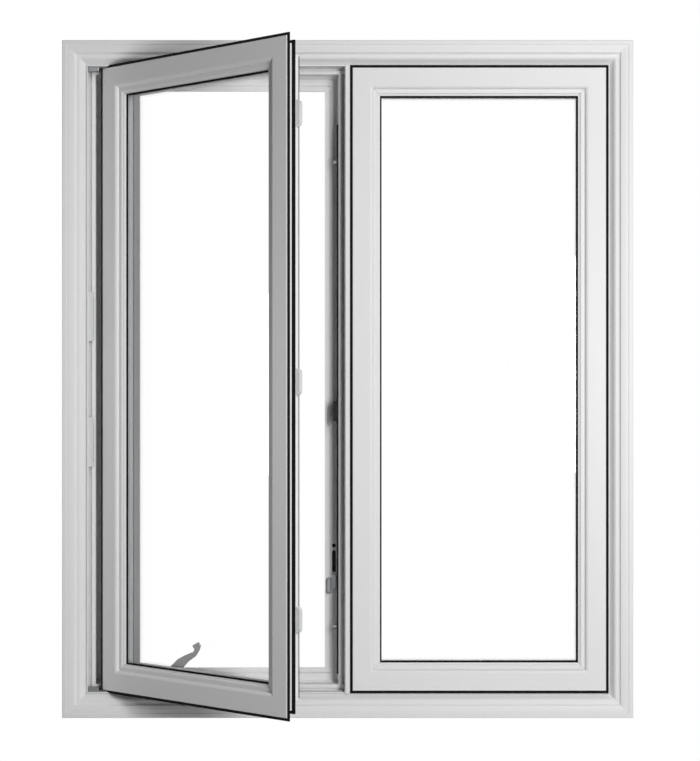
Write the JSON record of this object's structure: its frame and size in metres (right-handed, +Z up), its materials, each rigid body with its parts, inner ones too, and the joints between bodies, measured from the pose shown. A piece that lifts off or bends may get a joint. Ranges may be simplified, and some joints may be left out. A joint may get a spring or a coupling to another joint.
{
  "type": "double casement window",
  "caption": "White vinyl double casement window with moulded outer casing, the left sash cranked open outwards and the right one shut, with sealed glazing, seals, hinges, lock and crank.",
  "frame": {"origin": "on the back of the casing's bottom strip, which laps the wall, at mid-width and mid-strip", "axes": "+X to the right seen from outside, +Y into the room, +Z up"},
  "size_m": [1.22, 0.4866, 1.448],
  "materials": {
    "white_vinyl": "satin",
    "white_moulding": "satin",
    "black_rubber": "matte",
    "black_moulding": "satin",
    "clear_glass": "gloss",
    "spacer_aluminium": "satin",
    "stainless_steel": "satin",
    "zinc_case": "matte",
    "grey_painted_metal": "satin"
  },
  "bodies": {
    "root": {"crank_handle": "grey_painted_metal", "crank_knob": "grey_painted_metal", "frame_head": "white_vinyl", "frame_jamb_left": "white_vinyl", "frame_jamb_right": "white_vinyl", "frame_sill": "white_vinyl", "hinge_sash_arms": "stainless_steel", "hinge_shoes": "stainless_steel", "hinge_support_arms": "stainless_steel", "hinge_tracks": "stainless_steel", "left_sash_bottom_rail": "white_vinyl", "left_sash_face_seal": "black_rubber", "left_sash_glass_spacer": "spacer_aluminium", "left_sash_glazing_beads": "white_vinyl", "left_sash_glazing_gasket": "black_rubber", "left_sash_hinge_stile": "white_vinyl", "left_sash_inner_pane": "clear_glass", "left_sash_inner_seal": "black_rubber", "left_sash_lock_stile": "white_vinyl", "left_sash_middle_seal": "black_rubber", "left_sash_outer_pane": "clear_glass", "left_sash_top_rail": "white_vinyl", "lock_escutcheon": "white_moulding", "lock_keepers": "white_moulding", "lock_lever": "white_moulding", "lock_link": "stainless_steel", "lock_plate": "black_moulding", "lock_rollers": "zinc_case", "lock_stop_blocks": "zinc_case", "lock_tie_bar": "black_moulding", "mullion": "white_vinyl", "operator_arm": "stainless_steel", "operator_cover": "white_moulding", "operator_gear_case": "zinc_case", "operator_sash_slide": "stainless_steel", "right_sash_bottom_rail": "white_vinyl", "right_sash_face_seal": "black_rubber", "right_sash_glass_spacer": "spacer_aluminium", "right_sash_glazing_beads": "white_vinyl", "right_sash_glazing_gasket": "black_rubber", "right_sash_inner_pane": "clear_glass", "right_sash_inner_seal": "black_rubber", "right_sash_jamb_stile": "white_vinyl", "right_sash_middle_seal": "black_rubber", "right_sash_mullion_stile": "white_vinyl", "right_sash_outer_pane": "clear_glass", "right_sash_top_rail": "white_vinyl", "snubbers": "white_moulding", "tie_bar_guides": "black_moulding"}
  },
  "joints": []
}
